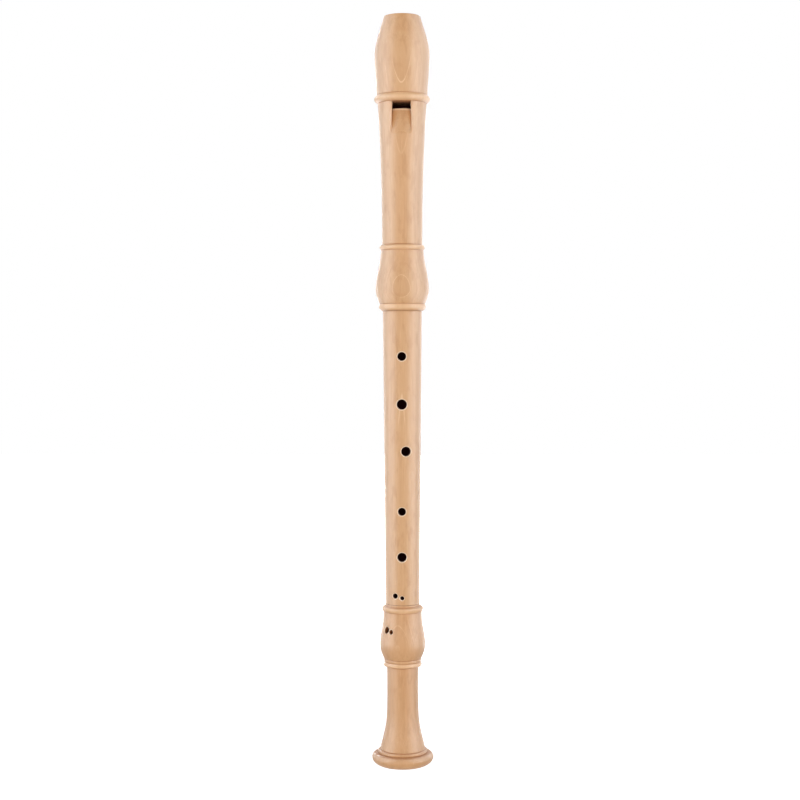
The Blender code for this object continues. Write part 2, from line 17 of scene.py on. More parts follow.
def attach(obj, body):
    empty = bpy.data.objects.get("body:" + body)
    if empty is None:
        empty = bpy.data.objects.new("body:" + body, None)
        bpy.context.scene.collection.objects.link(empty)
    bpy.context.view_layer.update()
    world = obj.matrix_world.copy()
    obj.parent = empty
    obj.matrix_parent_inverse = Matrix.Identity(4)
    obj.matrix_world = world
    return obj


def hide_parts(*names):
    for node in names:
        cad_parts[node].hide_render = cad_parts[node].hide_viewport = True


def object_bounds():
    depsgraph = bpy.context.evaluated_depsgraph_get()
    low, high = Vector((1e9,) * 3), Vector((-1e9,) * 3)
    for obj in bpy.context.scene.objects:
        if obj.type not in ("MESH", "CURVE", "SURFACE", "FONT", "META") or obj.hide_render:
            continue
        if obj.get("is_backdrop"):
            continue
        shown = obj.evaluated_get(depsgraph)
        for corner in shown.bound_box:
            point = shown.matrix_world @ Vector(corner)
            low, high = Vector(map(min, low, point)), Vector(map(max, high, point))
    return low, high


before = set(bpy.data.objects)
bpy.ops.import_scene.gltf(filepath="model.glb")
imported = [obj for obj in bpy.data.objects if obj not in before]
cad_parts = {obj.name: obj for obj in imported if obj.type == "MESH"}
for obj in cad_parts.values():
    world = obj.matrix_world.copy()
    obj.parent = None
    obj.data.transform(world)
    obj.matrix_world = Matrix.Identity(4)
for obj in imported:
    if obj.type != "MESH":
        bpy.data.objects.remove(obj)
solid_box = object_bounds()
print("solid pieces:", sorted(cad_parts))
print("solid box in mm:", [round(side * 1000, 1) for side in solid_box[1] - solid_box[0]])

# %% [markdown]
# ## A clean start for every piece
#
# An operator works on whatever is selected, and the loaded solids are all selected. So before a
# new piece is begun, the edit is closed and the selection is emptied. The same habit saves many
# surprises when you model by hand.

# %% Empty the selection
def clean_start():
    if bpy.context.object and bpy.context.object.mode == "EDIT":
        bpy.ops.object.mode_set(mode="OBJECT")
    bpy.ops.object.select_all(action="DESELECT")


def take_up(piece):
    """Makes one piece the selected and active one."""
    clean_start()
    piece.select_set(True)
    bpy.context.view_layer.objects.active = piece


clean_start()
print("selected now:", len(bpy.context.selected_objects))

# %% [markdown]
# ## Drawing an outline
#
# A turner works from a drawing of half the profile. Here it is a chain of edges: a tiny plane is
# merged to one point, and that point is extruded from place to place. A curve object could do
# the same, but a chain of edges keeps every point where the formula puts it.

# %% Draw a chain of edges through given places
PENCIL_POINT = 0.0001


def draw_line(name, places):
    places = [Vector(place) for place in places]
    clean_start()
    bpy.ops.mesh.primitive_plane_add(size=PENCIL_POINT, location=places[0])
    line = bpy.context.object
    line.name = name
    bpy.ops.object.mode_set(mode="EDIT")
    bpy.ops.mesh.merge(type="CENTER")
    for here, there in zip(places, places[1:]):
        bpy.ops.mesh.extrude_region_move(TRANSFORM_OT_translate={"value": there - here})
    bpy.ops.object.mode_set(mode="OBJECT")
    bpy.ops.object.transform_apply(location=True, rotation=True, scale=True)
    return line


def select_points(piece, wanted):
    """Leaves the piece in edit mode with just the wanted point numbers selected."""
    take_up(piece)
    bpy.ops.object.mode_set(mode="EDIT")
    bpy.ops.mesh.select_mode(type="VERT")
    bpy.ops.mesh.select_all(action="DESELECT")
    bpy.ops.object.mode_set(mode="OBJECT")
    for number in wanted:
        piece.data.vertices[number].select = True
    bpy.ops.object.mode_set(mode="EDIT")


def close_line(line):
    """Joins the last point of a line to its first."""
    select_points(line, (0, len(line.data.vertices) - 1))
    bpy.ops.mesh.edge_face_add()


# %% [markdown]
# ## The lathe
#
# Spinning an outline round Z gives the same solid as a lathe does. Points on the axis pile up
# and are merged to one, and the faces are then made to look outwards, because a spin can turn a
# shape inside out. The Screw modifier would do it too. Spin is the tool to know first.

# %% Spin an outline into a solid
LATHE_STEPS = 144
SAME_POINT = 0.000001


def close_surface():
    """In edit mode: welds doubled points and turns all faces outwards."""
    bpy.ops.mesh.select_all(action="SELECT")
    bpy.ops.mesh.remove_doubles(threshold=SAME_POINT)
    bpy.ops.mesh.normals_make_consistent(inside=False)
    bpy.ops.object.mode_set(mode="OBJECT")


def turn(name, outline, ring=True, steps=LATHE_STEPS):
    """Turns an outline of (radius, height) points. A ring's outline is closed, a plug's is not."""
    piece = draw_line(name, [(radius, 0.0, height) for radius, height in outline])
    if ring:
        close_line(piece)
    else:
        select_points(piece, ())
    bpy.ops.mesh.select_all(action="SELECT")
    bpy.ops.mesh.spin(steps=steps, angle=math.tau, center=(0, 0, 0), axis=(0, 0, 1))
    close_surface()
    return piece


# %% [markdown]
# ## The turner's curves
#
# Three strokes make every profile of this instrument: a flowing curve between two slopes, a
# raised ring, and a rounded edge. The flowing curve is a cubic that leaves one radius at a given
# slope and arrives at the next at another. Rows about 1.4 mm apart keep the light smooth.

# %% Flowing curves, rings and rounded edges
ROW_HEIGHT = 0.0014
RING_STEPS = 18
EDGE_STEPS = 10


def flowing(*stations):
    """Points on a curve through (height, radius, slope), the slope as growth for each unit down."""
    points = []
    for (high, upper, upper_slope), (low, lower, lower_slope) in zip(stations, stations[1:]):
        fall = high - low
        rows = max(4, round(fall / ROW_HEIGHT))
        for row in range(rows):
            t = row / rows
            ease = t * t * (3 - 2 * t)
            bend = upper_slope * t * (1 - t) ** 2 + lower_slope * t * t * (t - 1)
            points.append((upper * (1 - ease) + lower * ease + fall * bend, high - fall * t))
    points.append((stations[-1][1], stations[-1][0]))
    return points


def raised_ring(start, end, rise):
    """A half wave that stands off the straight line from start to end."""
    run = Vector(end) - Vector(start)
    outward = Vector((-run.y, run.x)).normalized()
    points = []
    for step in range(RING_STEPS + 1):
        t = step / RING_STEPS
        place = Vector(start) + run * t + outward * rise * math.sin(math.pi * t)
        points.append((place.x, place.y))
    return points


def rounded(centre, half_sizes, start, end):
    """Part of an ellipse, from one angle above the horizontal to another, in degrees."""
    points = []
    for step in range(EDGE_STEPS + 1):
        angle = math.radians(start + (end - start) * step / EDGE_STEPS)
        radius = centre[0] + half_sizes[0] * math.cos(angle)
        points.append((radius, centre[1] + half_sizes[1] * math.sin(angle)))
    return points


def chain(*parts):
    """Joins runs of points and drops each point that repeats the one before it."""
    points = []
    for part in parts:
        for point in part:
            if not points or (Vector(point) - Vector(points[-1])).length > SAME_POINT:
                points.append(point)
    return points


def radius_at(outline, height):
    """The radius of an outline, which runs downwards, at one height."""
    for (upper, high), (lower, low) in zip(outline, outline[1:]):
        if low <= height <= high:
            return upper + (lower - upper) * (high - height) / (high - low)
    raise ValueError("the outline doesn't reach that height")


# %% [markdown]
# ## A scored line beside each ring
#
# The point of the turner's tool leaves a fine groove where a ring meets the body, and in the
# finished wood it reads as a thin brown line. In the outline it is a V of three points that takes
# the place of the one where the two curves meet.

# %% Score an outline at given places
SCORE_DEPTH = 0.00026
SCORE_HALF_WIDTH = 0.00022


def score(outline, *meetings):
    points = []
    for number, point in enumerate(outline):
        if not any((Vector(point) - Vector(place)).length < SAME_POINT for place in meetings):
            points.append(point)
            continue
        for neighbour in (outline[number - 1], outline[number + 1]):
            side = (Vector(neighbour) - Vector(point)).normalized() * SCORE_HALF_WIDTH
            points.append((point[0] + side.x, point[1] + side.y))
        points.insert(-1, (point[0] - SCORE_DEPTH, point[1]))
    return points


# %% [markdown]
# ## How the three joints meet
#
# The foot, the middle and the head stand on each other at shoulders 0.3 mm apart. The middle
# carries a tenon at each end. The head's and the foot's sockets are half a millimetre wider, and
# the cork on the tenon fills that. These few numbers tie all the pieces together.

# %% Heights and radii shared by the joints
SHOULDER_GAP = 0.0003
SLIDING_GAP = 0.0005
EDGE_BREAK = 0.0002
FOOT_TOP = 0.1420
MIDDLE_END = FOOT_TOP + SHOULDER_GAP
MIDDLE_TOP = MIDDLE_END + 0.2543
HEAD_END = MIDDLE_TOP + SHOULDER_GAP
HEAD_TOP = HEAD_END + 0.2531
HEAD_SOCKET = 0.0151
HEAD_SOCKET_FLOOR = HEAD_END + 0.0310
FOOT_SOCKET = 0.0127
FOOT_SOCKET_FLOOR = FOOT_TOP - 0.0205
HEAD_BORE = 0.0123
print("shoulders at", [round(level * 1000, 1) for level in (FOOT_TOP, MIDDLE_TOP, HEAD_TOP)], "mm")

# %% [markdown]
# ## The head
#
# The head is a barrel that the lips hold, a ring, a slim tube, a second ring and a swell that
# gives the socket enough wood. It is turned as one outline, down the outside and up the inside.

# %% Turn the head
TIP_RADIUS = 0.01595
TIP_ROUNDING = 0.0006
TIP_SLOPE = 0.27
BARREL_RADIUS = 0.0237
TUBE_TOP_RADIUS = 0.0211
SWELL_TOP_RADIUS = 0.0184
BEAK_RING_TOP = HEAD_TOP - 0.0675
BEAK_RING_END = BEAK_RING_TOP - 0.0071
SWELL_RING_TOP = HEAD_END + 0.0573
SWELL_RING_END = SWELL_RING_TOP - 0.0048
MOUTH_RING_TOP = HEAD_END + 0.0062
WAIST_RADIUS = 0.01748


def head_outline():
    tip = rounded(
        (TIP_RADIUS - TIP_ROUNDING, HEAD_TOP - TIP_ROUNDING),
        (TIP_ROUNDING, TIP_ROUNDING),
        90.0,
        math.degrees(math.atan(TIP_SLOPE)),
    )
    barrel = flowing(
        (tip[-1][1], tip[-1][0], TIP_SLOPE),
        (HEAD_TOP - 0.0335, BARREL_RADIUS, 0.0),
        (BEAK_RING_TOP, 0.0219, -0.02),
    )
    beak_ring = raised_ring(barrel[-1], (TUBE_TOP_RADIUS, BEAK_RING_END), 0.0026)
    tube = flowing(
        (BEAK_RING_END, TUBE_TOP_RADIUS, -0.07),
        (HEAD_TOP - 0.1250, 0.0186, -0.034),
        (HEAD_END + 0.0680, WAIST_RADIUS, 0.0),
    )
    swell_top = (SWELL_TOP_RADIUS, SWELL_RING_END)
    swell_ring = raised_ring((WAIST_RADIUS, SWELL_RING_TOP), swell_top, 0.0018)
    swell = flowing(
        (SWELL_RING_END, SWELL_TOP_RADIUS, 0.05),
        (HEAD_END + 0.0184, 0.02305, 0.0),
        (MOUTH_RING_TOP, 0.0196, -0.5),
    )
    mouth_ring = raised_ring(swell[-1], (0.0173, HEAD_END), 0.0018)
    inside = [
        (HEAD_SOCKET + EDGE_BREAK, HEAD_END),
        (HEAD_SOCKET, HEAD_END + EDGE_BREAK),
        (HEAD_SOCKET, HEAD_SOCKET_FLOOR),
        (HEAD_BORE, HEAD_SOCKET_FLOOR),
        (HEAD_BORE, HEAD_TOP),
    ]
    outline = chain(tip, barrel, beak_ring, tube, swell_ring, swell, mouth_ring, inside)
    meetings = (beak_ring[0], beak_ring[-1], swell_ring[0], swell_ring[-1], mouth_ring[0])
    return score(outline, *meetings)


head_rings = (
    (BEAK_RING_TOP, BEAK_RING_END),
    (SWELL_RING_TOP, SWELL_RING_END),
    (MOUTH_RING_TOP, HEAD_END),
)
head_profile = head_outline()
head = turn("head", head_profile)
print("head:", len(head.data.polygons), "faces")

# %% [markdown]
# ## Cutting with a shaped tool
#
# The beak, the windway and the window are cut into the turned head. Each is a Boolean: a second
# solid takes its own shape away. The tools are made by extruding one cross-section downwards.
# An extrude may renumber points, so each point is known by the place it hangs under, and is then
# pushed onto its own section's arch.

# %% Carve one solid out of another
def carve(piece, tool):
    take_up(piece)
    notch = piece.modifiers.new(tool.name, "BOOLEAN")
    notch.operation = "DIFFERENCE"
    notch.solver = "EXACT"
    notch.object = tool
    bpy.ops.object.modifier_apply(modifier=notch.name)
    print(tool.name, "cut from", piece.name + ":", len(piece.data.polygons), "faces")


def pull_through(name, sections):
    """A solid pulled down through cross-sections that all have the same number of places."""
    solid = draw_line(name, sections[0])
    close_line(solid)
    bpy.ops.mesh.select_all(action="SELECT")
    bpy.ops.mesh.edge_face_add()
    for upper, lower in zip(sections, sections[1:]):
        drop = (0.0, 0.0, lower[0][2] - upper[0][2])
        bpy.ops.mesh.extrude_region_move(TRANSFORM_OT_translate={"value": drop})
    bpy.ops.object.mode_set(mode="OBJECT")
    for point in solid.data.vertices:
        section = min(sections, key=lambda rows: abs(rows[0][2] - point.co.z))
        gaps = [(point.co.xy - Vector(place[:2])).length for place in sections[0]]
        point.co = section[gaps.index(min(gaps))]
    select_points(solid, ())
    close_surface()
    return solid


# %% [markdown]
# ## The beak's hollow
#
# The back of the beak is cut away along one hollow curve, so that it fits the lower lip. A big
# drum lying across the tip leaves exactly that curve.

# %% A drum for the beak
OVERRUN = 0.001
DRUM_RADIUS = 0.0627
DRUM_STEPS = 256
TIP_THICKNESS = 0.0141

clean_start()
bpy.ops.mesh.primitive_cylinder_add(
    vertices=DRUM_STEPS,
    radius=DRUM_RADIUS,
    depth=2 * (BARREL_RADIUS + OVERRUN),
    location=(0.0, TIP_THICKNESS - TIP_RADIUS + DRUM_RADIUS, HEAD_TOP),
    rotation=(0.0, math.pi / 2, 0.0),
)
drum = bpy.context.object
drum.name = "beak_drum"
bpy.ops.object.transform_apply(location=True, rotation=True, scale=True)
print("drum:", len(drum.data.polygons), "faces")

# %% [markdown]
# ## The windway
#
# The windway is a flat arched slot between the block and the head. It narrows from the tip to
# the window, and its exit has a small slope on roof and floor. It is the part that a maker
# spends the most care on, so its arch gets 24 steps.

# %% The windway's tool
ARCH_STEPS = 24
WINDWAY_HALF_WIDTH = 0.00775
WINDWAY_FLOOR = 0.0115
WINDWAY_ENTRY = 0.0024
WINDWAY_EXIT = 0.0014
WINDWAY_FLOOR_SAG = 0.00245
WINDWAY_ROOF_SAG = 0.00217
WINDWAY_EXIT_SLOPE = 0.0008
WINDOW_TOP = HEAD_TOP - 0.0746


def arch(half_width, crown, sag, height):
    """Places across an arch that stands crown in front of the axis and falls back at the sides."""
    across = [2 * step / ARCH_STEPS - 1 for step in range(ARCH_STEPS + 1)]
    return [(s * half_width, sag * s * s - crown, height) for s in across]


def windway_section(height, floor, roof):
    floor_line = arch(WINDWAY_HALF_WIDTH, floor, WINDWAY_FLOOR_SAG, height)
    return arch(WINDWAY_HALF_WIDTH, roof, WINDWAY_ROOF_SAG, height) + floor_line[::-1]


exit_roof = WINDWAY_FLOOR + WINDWAY_EXIT
spread = WINDWAY_EXIT_SLOPE + OVERRUN
windway = pull_through("windway_tool", [
    windway_section(HEAD_TOP + OVERRUN, WINDWAY_FLOOR, WINDWAY_FLOOR + WINDWAY_ENTRY),
    windway_section(WINDOW_TOP + WINDWAY_EXIT_SLOPE, WINDWAY_FLOOR, exit_roof),
    windway_section(WINDOW_TOP - OVERRUN, WINDWAY_FLOOR - spread, exit_roof + spread),
])
print("windway:", len(windway.data.polygons), "faces")

# %% [markdown]
# ## The window and its ramp
#
# Air leaves the windway, crosses the window and splits on the labium, the sharp upper edge of
# the ramp. The ramp is arched like the windway and rises to the surface. Its side walls are
# straight, and a knife has taken their upper edges off, so two pale strips run down beside it.

# %% The window's tool
WINDOW_HALF_WIDTH = 0.0079
LABIUM = WINDOW_TOP - 0.0056
LABIUM_EDGE = 0.0125
LABIUM_SAG = 0.0024
LABIUM_THICKNESS = 0.00005
RAMP_LENGTH = 0.0217
RAMP_RISE = 0.0070 / RAMP_LENGTH
RAMP_FLATTENING = 0.0004 / RAMP_LENGTH
RAMP_ROWS = 16
RAMP_OVERRUN = 0.003
WINDOW_SPREAD = 0.0007 / (WINDOW_TOP - LABIUM + RAMP_LENGTH)
WALL_FOOT = 0.0001
PARED_DEPTH = 0.0015
PARED_LEAN = math.tan(math.radians(54.0))


def window_section(height, crown, sag, wall_start):
    """One section: the arch, two straight walls and the slopes where their edges are pared."""
    half_width = WINDOW_HALF_WIDTH + WINDOW_SPREAD * (WINDOW_TOP - height)
    skin = math.sqrt(radius_at(head_profile, height) ** 2 - half_width ** 2)
    wall_start = max(wall_start, skin - PARED_DEPTH)
    beyond = BARREL_RADIUS + OVERRUN
    top_width = half_width + PARED_LEAN * (beyond - wall_start)
    walls = [(half_width, -wall_start), (top_width, -beyond)]
    walls += [(-top_width, -beyond), (-half_width, -wall_start)]
    return arch(half_width, crown, sag, height) + [(x, y, height) for x, y in walls]


def ramp_section(drop):
    crown = LABIUM_EDGE + RAMP_RISE * drop
    sag = LABIUM_SAG - RAMP_FLATTENING * drop
    height = LABIUM - LABIUM_THICKNESS - drop
    return window_section(height, crown, sag, crown - sag + WALL_FOOT)


through = math.sqrt(HEAD_BORE ** 2 - WINDOW_HALF_WIDTH ** 2) - OVERRUN
slot_wall = LABIUM_EDGE - LABIUM_SAG + WALL_FOOT
window_sections = [window_section(level, through, 0.0, slot_wall) for level in (WINDOW_TOP, LABIUM)]
ramp_reach = RAMP_LENGTH + RAMP_OVERRUN
window_sections += [ramp_section(ramp_reach * row / RAMP_ROWS) for row in range(RAMP_ROWS + 1)]
window = pull_through("window_tool", window_sections)
print("window:", len(window.data.polygons), "faces")

# %% [markdown]
# ## Cutting the head
#
# The three tools go through the head in the order that a maker uses: the beak, the windway, then
# the window. Smooth shading with a limit keeps the cut edges crisp and the turned skin smooth.

# %% Cut the head and shade it
SMOOTH_LIMIT = math.radians(28.0)


def shade(piece):
    select_points(piece, ())
    close_surface()
    bpy.ops.object.shade_smooth_by_angle(angle=SMOOTH_LIMIT)


for tool in (drum, windway, window):
    carve(head, tool)
shade(head)

# %% [markdown]
# ## The block
#
# A plug of cedar closes the head above the window and is the windway's floor. Cedar keeps its
# size when it is damp. It is turned to the bore less a hair, then cut by the same drum and the
# same windway tool as the head, so the two always match.

# %% Turn and cut the block
block_radius = HEAD_BORE - SHOULDER_GAP
block = turn("block_plug", chain(
    [(0.0, HEAD_TOP), (block_radius, HEAD_TOP)],
    [(block_radius, WINDOW_TOP + EDGE_BREAK), (block_radius - EDGE_BREAK, WINDOW_TOP)],
    [(0.0, WINDOW_TOP)],
), ring=False)
carve(block, drum)
carve(block, windway)
shade(block)

# %% [markdown]
# ## The middle joint
#
# A long, nearly straight taper with a tenon at each end. The bore narrows downwards. Each tenon
# has a shallow groove for its cork, and its end is broken so that it starts easily.

# %% Turn the middle joint
CORK_THICKNESS = 0.0012
CORK_SET_BACK = 0.0060
UPPER_CORK = 0.0150
LOWER_CORK = 0.0105
UPPER_TENON_TOP = HEAD_SOCKET_FLOOR - SLIDING_GAP
LOWER_TENON_END = FOOT_SOCKET_FLOOR + SLIDING_GAP


def straight(start, end):
    rows = round((Vector(end) - Vector(start)).length / ROW_HEIGHT)
    places = [Vector(start).lerp(Vector(end), row / rows) for row in range(rows + 1)]
    return [(place.x, place.y) for place in places]


def tenon(radius, shoulder, end, cork_length):
    """A tenon's side from its shoulder to its end, with the groove that its cork lies in."""
    way = math.copysign(1.0, end - shoulder)
    groove = radius - CORK_THICKNESS
    start = shoulder + way * CORK_SET_BACK
    stop = start + way * (cork_length + 2 * SHOULDER_GAP)
    side = straight((radius, shoulder), (radius, start)) + [(groove, start), (groove, stop)]
    side += [(radius, stop), (radius, end - way * EDGE_BREAK), (radius - EDGE_BREAK, end)]
    return side


middle_side = straight((0.01695, MIDDLE_TOP), (0.01468, MIDDLE_END))
middle_bore = flowing(
    (UPPER_TENON_TOP, 0.0112, -0.010),
    ((MIDDLE_TOP + MIDDLE_END) / 2, 0.0095, -0.009),
    (LOWER_TENON_END, 0.0082, -0.004),
)
middle = turn("middle", chain(
    tenon(HEAD_SOCKET - SLIDING_GAP, MIDDLE_TOP, UPPER_TENON_TOP, UPPER_CORK)[::-1],
    middle_side,
    tenon(FOOT_SOCKET - SLIDING_GAP, MIDDLE_END, LOWER_TENON_END, LOWER_CORK),
    middle_bore[::-1],
))
print("middle:", len(middle.data.polygons), "faces")

# %% [markdown]
# ## A drill bit for tone holes
#
# A finger finds a hole by its softened edge, a band about 0.9 mm wide that is as wide at the
# sides as above and below. So the bit is turned like any plug, with a rounded collar, and then
# draped: each point slides along the drill's line until it lies as deep under the curved wood as
# its outline says. That also lets the lowest pair of holes slope without a second recipe.

# %% Shape a bit and drill with it
BIT_STEPS = 64
DRILL_STOP = 0.0040
UNDERCUT = 0.0004
COLLAR_START = 20.0
Hole = namedtuple("Hole", "name height side aim diameter slope collar")


def direction(side, rise):
    """The outward direction at an angle round the body and an angle above the horizontal."""
    flat = math.cos(math.radians(rise))
    around = math.radians(side)
    return Vector((math.sin(around) * flat, -math.cos(around) * flat, math.sin(math.radians(rise))))


def bit_outline(radius, collar, depth):
    """The bit's (radius, depth) points: a wide top, the rounded collar, the wall, the undercut."""
    bend = collar / (1 - math.sin(math.radians(COLLAR_START)))
    edge = rounded((radius + bend, -bend * math.cos(math.radians(COLLAR_START))), (bend, bend),
                   90.0 + COLLAR_START, 180.0)
    lift = OVERRUN * math.tan(math.radians(COLLAR_START))
    top = [(0.0, 2 * OVERRUN), (radius + collar + OVERRUN, 2 * OVERRUN)]
    top.append((radius + collar + OVERRUN, lift))
    wall = [(radius, -depth / 2), (radius + UNDERCUT, -depth), (0.0, -depth)]
    return chain(top, edge, wall)


def drill(piece, side_line, hole):
    body = radius_at(side_line, hole.height)
    outward = direction(hole.side, 0.0)
    across = Vector((0.0, 0.0, 1.0)).cross(outward)
    aim = direction(hole.aim, hole.slope)
    facing = aim.dot(outward)
    lean = aim - outward * facing
    stretch = 1 / facing - 1
    bit = turn(hole.name + "_bit", bit_outline(hole.diameter / 2, hole.collar, body - DRILL_STOP),
               ring=False, steps=BIT_STEPS)
    entry = outward * body + Vector((0.0, 0.0, hole.height))
    for point in bit.data.vertices:
        flat = across * point.co.x + Vector((0.0, 0.0, point.co.y))
        if lean.length > SAME_POINT:
            tilt = lean.normalized()
            flat += tilt * flat.dot(tilt) * stretch
        sideways = flat.dot(across)
        here = radius_at(side_line, hole.height + flat.z)
        drape = math.sqrt(here ** 2 - sideways ** 2) - body
        point.co = entry + flat + aim * ((drape + point.co.z) / facing)
    select_points(bit, ())
    close_surface()
    carve(piece, bit)
    bpy.data.objects.remove(bit)


# %% [markdown]
# ## Drilling the middle joint
#
# Three finger holes and the thumb hole for the upper hand, then two single holes and one double
# hole for the lower hand. The third hole and the double hole lie to one side, because fingers
# differ in length.

# %% Drill the finger holes and the thumb hole
SOFT_EDGE = 0.0009
middle_holes = [
    Hole("thumb_hole", MIDDLE_TOP - 0.0256, 180.0, 180.0, 0.0070, 0.0, SOFT_EDGE),
    Hole("finger_hole_1", MIDDLE_TOP - 0.0389, 0.0, 0.0, 0.0074, 0.0, SOFT_EDGE),
    Hole("finger_hole_2", MIDDLE_TOP - 0.0803, 0.0, 0.0, 0.0086, 0.0, SOFT_EDGE),
    Hole("finger_hole_3", MIDDLE_TOP - 0.1208, 14.0, 14.0, 0.0082, 0.0, SOFT_EDGE),
    Hole("finger_hole_4", MIDDLE_END + 0.0814, 0.0, 0.0, 0.0067, 0.0, SOFT_EDGE),
    Hole("finger_hole_5", MIDDLE_END + 0.0418, 0.0, 0.0, 0.0078, 0.0, SOFT_EDGE),
    Hole("finger_hole_6_large", MIDDLE_END + 0.0080, -24.0, -12.0, 0.0044, 0.0, 0.0007),
    Hole("finger_hole_6_small", MIDDLE_END + 0.0063, 0.0, -12.0, 0.0034, 0.0, 0.0007),
]
for hole in middle_holes:
    drill(middle, middle_side, hole)
shade(middle)

# %% [markdown]
# ## Remembering the sanded edges
#
# The softened edge round each hole gets a painted highlight, a paler colour where light would catch
# its rim. Every face of such an edge gets a mark, a number kept with the mesh, and the finish reads
# that mark later. The drilled walls below get a mark too, for painted shade that browns them.
# More materials would do as well, but one finish for each piece is simpler to look after.

# %% Mark the faces of the softened edges
NEAR_HOLE = 3.0
EDGE_DEPTH = 1.5
WALL_TURN = 0.7


def mark_edges(piece, side_line, holes):
    for name in ("painted_edge_highlight", "drilled_wall"):
        piece.data.attributes.new(name, "FLOAT", "FACE")
    edge_highlight = piece.data.attributes["painted_edge_highlight"].data
    drilled = piece.data.attributes["drilled_wall"].data
    count = 0
    for hole in holes:
        outward = direction(hole.side, 0.0)
        aim = direction(hole.aim, hole.slope)
        facing = aim.dot(outward)
        lean = aim - outward * facing
        tilt = lean.normalized() if lean.length > SAME_POINT else Vector()
        entry = outward * radius_at(side_line, hole.height) + Vector((0.0, 0.0, hole.height))
        outer = hole.diameter / 2 + hole.collar
        for face in piece.data.polygons:
            away = face.center - entry
            if away.length > NEAR_HOLE * outer:
                continue
            flat = away - aim * (away.dot(outward) / facing)
            flat -= tilt * flat.dot(tilt) * (1 - facing)
            depth = radius_at(side_line, face.center.z) - face.center.xy.length
            # painted highlight on the rim's faces, standing in for light on the softened edge
            if flat.length < outer and depth < EDGE_DEPTH * hole.collar:
                edge_highlight[face.index].value = 1.0
                count += 1
            # painted shade on the hole's walls
            elif flat.length < outer and face.normal.dot(outward) < WALL_TURN:
                drilled[face.index].value = 1.0
    print(count, "sanded faces on", piece.name)


mark_edges(middle, middle_side, middle_holes)

# %% [markdown]
# ## Painted highlights on the rings and the labium
#
# Each ring's outer faces get a painted highlight, a paler colour where light would catch them, so
# they look paler than the long curves. These faces get a mark of their own, by their height. The
# labium's edge gets half of the painted highlight that the holes' edges have.

# %% Mark the rings' outer faces and the labium
LABIUM_BAND = 0.0015


# Marks each ring's outward faces for a painted highlight, a paler colour standing in for light.
def mark_ring_highlights(piece, rings):
    marks = piece.data.attributes.new("painted_ring_highlight", "FLOAT", "FACE")
    count = 0
    for face, mark in zip(piece.data.polygons, marks.data):
        faces_out = face.normal.xy.dot(face.center.xy) > 0.0
        if faces_out and any(low < face.center.z < high for high, low in rings):
            mark.value = 1.0
            count += 1
    print(count, "burnished faces on", piece.name)


mark_ring_highlights(head, head_rings)
# the labium's edge gets half of the painted edge highlight
marks = head.data.attributes.new("painted_edge_highlight", "FLOAT", "FACE")
for face, mark in zip(head.data.polygons, marks.data):
    in_row = LABIUM - RAMP_LENGTH / RAMP_ROWS < face.center.z < LABIUM
    near = face.center.xy.length < LABIUM_EDGE + LABIUM_BAND
    if in_row and near and face.normal.y < -0.5:
        mark.value = 0.5
for tool in (drum, windway, window):
    bpy.data.objects.remove(tool)

# %% [markdown]
# ## The corks
#
# A strip of sheet cork is lapped round each tenon and sanded until the joint slides with a firm
# hand. It is a thin ring with softened edges, pressed a little by the socket.

# %% Turn the two corks
def cork(name, socket, shoulder, end, length):
    way = math.copysign(1.0, end - shoulder)
    start = shoulder + way * (CORK_SET_BACK + SHOULDER_GAP)
    high = max(start, start + way * length)
    low = high - length
    outer = socket - SHOULDER_GAP
    inner = socket - SLIDING_GAP - CORK_THICKNESS + SHOULDER_GAP
    soft = (EDGE_BREAK, EDGE_BREAK)
    upper_edge = rounded((outer - EDGE_BREAK, high - EDGE_BREAK), soft, 90.0, 0.0)
    lower_edge = rounded((outer - EDGE_BREAK, low + EDGE_BREAK), soft, 0.0, -90.0)
    ring = turn(name, chain(upper_edge, lower_edge, [(inner, low), (inner, high)]))
    shade(ring)
    return ring


upper_cork = cork("upper_cork", HEAD_SOCKET, MIDDLE_TOP, UPPER_TENON_TOP, UPPER_CORK)
lower_cork = cork("lower_cork", FOOT_SOCKET, MIDDLE_END, LOWER_TENON_END, LOWER_CORK)
print("corks:", len(upper_cork.data.polygons), "and", len(lower_cork.data.polygons), "faces")

# %% [markdown]
# ## The foot
#
# The foot has a ring at its mouth, a swell round the socket, a second ring, a slim neck and a
# flare that ends in a bead and the rounded rim of the bell. The rim turns under to a flat ring
# that the instrument stands on.

# %% Turn and drill the foot
FOOT_LAND = FOOT_TOP - 0.0017
LAND_RADIUS = 0.01475
RING_START = 0.0151
FOOT_RING_END = FOOT_TOP - 0.0068
LOWER_RING_TOP = FOOT_TOP - 0.0481
LOWER_RING_END = LOWER_RING_TOP - 0.0070
FILLET = 0.0028
NECK_TOP = 0.01375
RIM_HEIGHT = 0.0070
RIM_RADIUS = 0.0268
BEAD_TOP = 0.0142
BEAD_END = 0.0113
SHELF = 0.0216
CROWN = 0.0224
BELL_FACE = 0.0165

